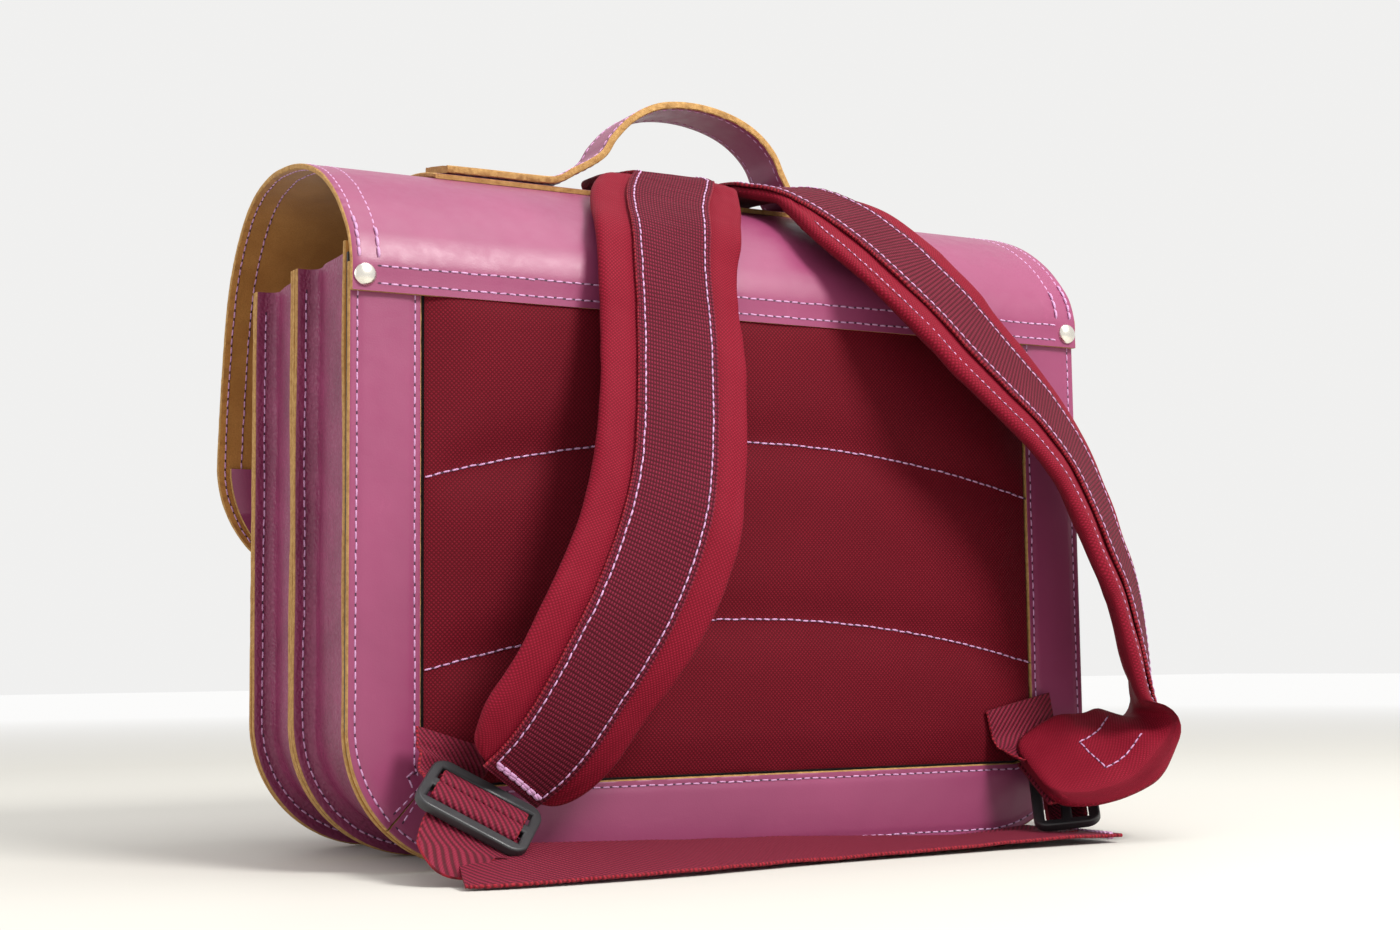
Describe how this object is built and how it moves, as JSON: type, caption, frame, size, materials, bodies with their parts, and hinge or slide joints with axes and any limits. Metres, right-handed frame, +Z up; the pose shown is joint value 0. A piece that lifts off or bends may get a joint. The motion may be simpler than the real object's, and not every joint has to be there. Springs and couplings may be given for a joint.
{
  "type": "satchel backpack",
  "caption": "Leather satchel worn as a backpack: gusseted compartments, lifting flap with buckled closures, arched top handle, quilted back and padded shoulder straps.",
  "frame": {"origin": "middle of the divider panel's flat bottom edge, on the floor", "axes": "+Z up, -Y towards the flap and closures at the front, +X along the width to the wearer's right"},
  "size_m": [0.3993, 0.2843, 0.35],
  "materials": {
    "orchid_leather": "smooth semi-gloss bridle leather with raw tan edges",
    "plum_leather": "softer pebbled leather",
    "stiffener_board": "matte black board",
    "pad_foam": "closed-cell foam",
    "cordura": "tight twill-woven nylon",
    "webbing": "ribbed nylon webbing",
    "black_plastic": "satin moulded plastic",
    "nickel": "polished nickel plate"
  },
  "bodies": {
    "root": {"front_panel": "orchid_leather", "back_frame_right": "orchid_leather", "back_frame_left": "orchid_leather", "back_frame_bottom": "orchid_leather", "front_pocket_panel": "orchid_leather", "flap_rear_cover": "orchid_leather", "handle_plate": "orchid_leather", "handle_foot_right": "orchid_leather", "handle_foot_left": "orchid_leather", "strap_anchor_patch": "orchid_leather", "divider_panel": "plum_leather", "rear_gusset": "plum_leather", "front_gusset": "plum_leather", "front_pocket_gusset": "plum_leather", "back_stiffener": "stiffener_board", "back_pad_foam": "pad_foam", "back_pad_cover": "cordura", "strap_head_right": "cordura", "strap_head_left": "cordura", "corner_webbing_right": "webbing", "corner_webbing_left": "webbing", "tail_webbing_right": "webbing", "tail_webbing_left": "webbing", "rivet_right": "nickel", "rivet_left": "nickel", "magnet_base_right": "nickel", "magnet_base_left": "nickel"},
    "flap": {"flap_front": "orchid_leather", "flap_facing": "orchid_leather", "closure_strap_right": "orchid_leather", "closure_strap_left": "orchid_leather"},
    "handle": {"handle_grip": "orchid_leather"},
    "strap_right": {"strap_pad_right": "cordura", "strap_webbing_right": "webbing"},
    "lock_right": {"ladder_lock_right": "black_plastic", "lock_webbing_right": "webbing"},
    "closure_right": {"closure_tip_right": "orchid_leather", "buckle_frame_right": "nickel", "closure_tab_right": "orchid_leather", "keeper_right": "orchid_leather", "magnet_cap_right": "nickel"},
    "prong_right": {"buckle_prong_right": "nickel"},
    "strap_left": {"strap_pad_left": "cordura", "strap_webbing_left": "webbing"},
    "lock_left": {"ladder_lock_left": "black_plastic", "lock_webbing_left": "webbing"},
    "closure_left": {"closure_tip_left": "orchid_leather", "buckle_frame_left": "nickel", "closure_tab_left": "orchid_leather", "keeper_left": "orchid_leather", "magnet_cap_left": "nickel"},
    "prong_left": {"buckle_prong_left": "nickel"}
  },
  "joints": [
    {"name": "flap_hinge", "type": "hinge", "parent": "root", "child": "flap", "pos_m": [0, -0.045, 0.3048], "axis": [-1, 0, 0], "range_deg": [0, 115]},
    {"name": "handle_tilt", "type": "hinge", "parent": "root", "child": "handle", "pos_m": [0, 0.001, 0.324], "axis": [1, 0, 0], "range_deg": [-25, 25], "stiffness_Nm_per_rad": 0.05},
    {"name": "right_strap_swing", "type": "hinge", "parent": "root", "child": "strap_right", "pos_m": [0.01115, 0.02557, 0.31079], "axis": [1, 0, 0], "range_deg": [0, 20]},
    {"name": "left_strap_swing", "type": "hinge", "parent": "root", "child": "strap_left", "pos_m": [-0.03829, 0.02344, 0.31141], "axis": [1, 0, 0], "range_deg": [0, 20]},
    {"name": "right_lock_tilt", "type": "hinge", "parent": "strap_right", "child": "lock_right", "pos_m": [0.13692, 0.10438, 0.0333], "axis": [0.7915, -0.3797, 0.4789], "range_deg": [0, 10]},
    {"name": "left_lock_tilt", "type": "hinge", "parent": "strap_left", "child": "lock_left", "pos_m": [-0.14075, 0.09332, 0.01813], "axis": [-0.4694, -0.6991, 0.5393], "range_deg": [-15, 0]},
    {"name": "right_closure_swing", "type": "hinge", "parent": "flap", "child": "closure_right", "pos_m": [0.085, -0.1264, 0.1208], "axis": [-1, 0, 0], "range_deg": [0, 60]},
    {"name": "right_prong_turn", "type": "hinge", "parent": "closure_right", "child": "prong_right", "pos_m": [0.085, -0.1205, 0.08], "axis": [1, 0, 0], "range_deg": [0, 75]},
    {"name": "left_closure_swing", "type": "hinge", "parent": "flap", "child": "closure_left", "pos_m": [-0.085, -0.1264, 0.1208], "axis": [-1, 0, 0], "range_deg": [0, 60]},
    {"name": "left_prong_turn", "type": "hinge", "parent": "closure_left", "child": "prong_left", "pos_m": [-0.085, -0.1205, 0.08], "axis": [1, 0, 0], "range_deg": [0, 75]}
  ]
}
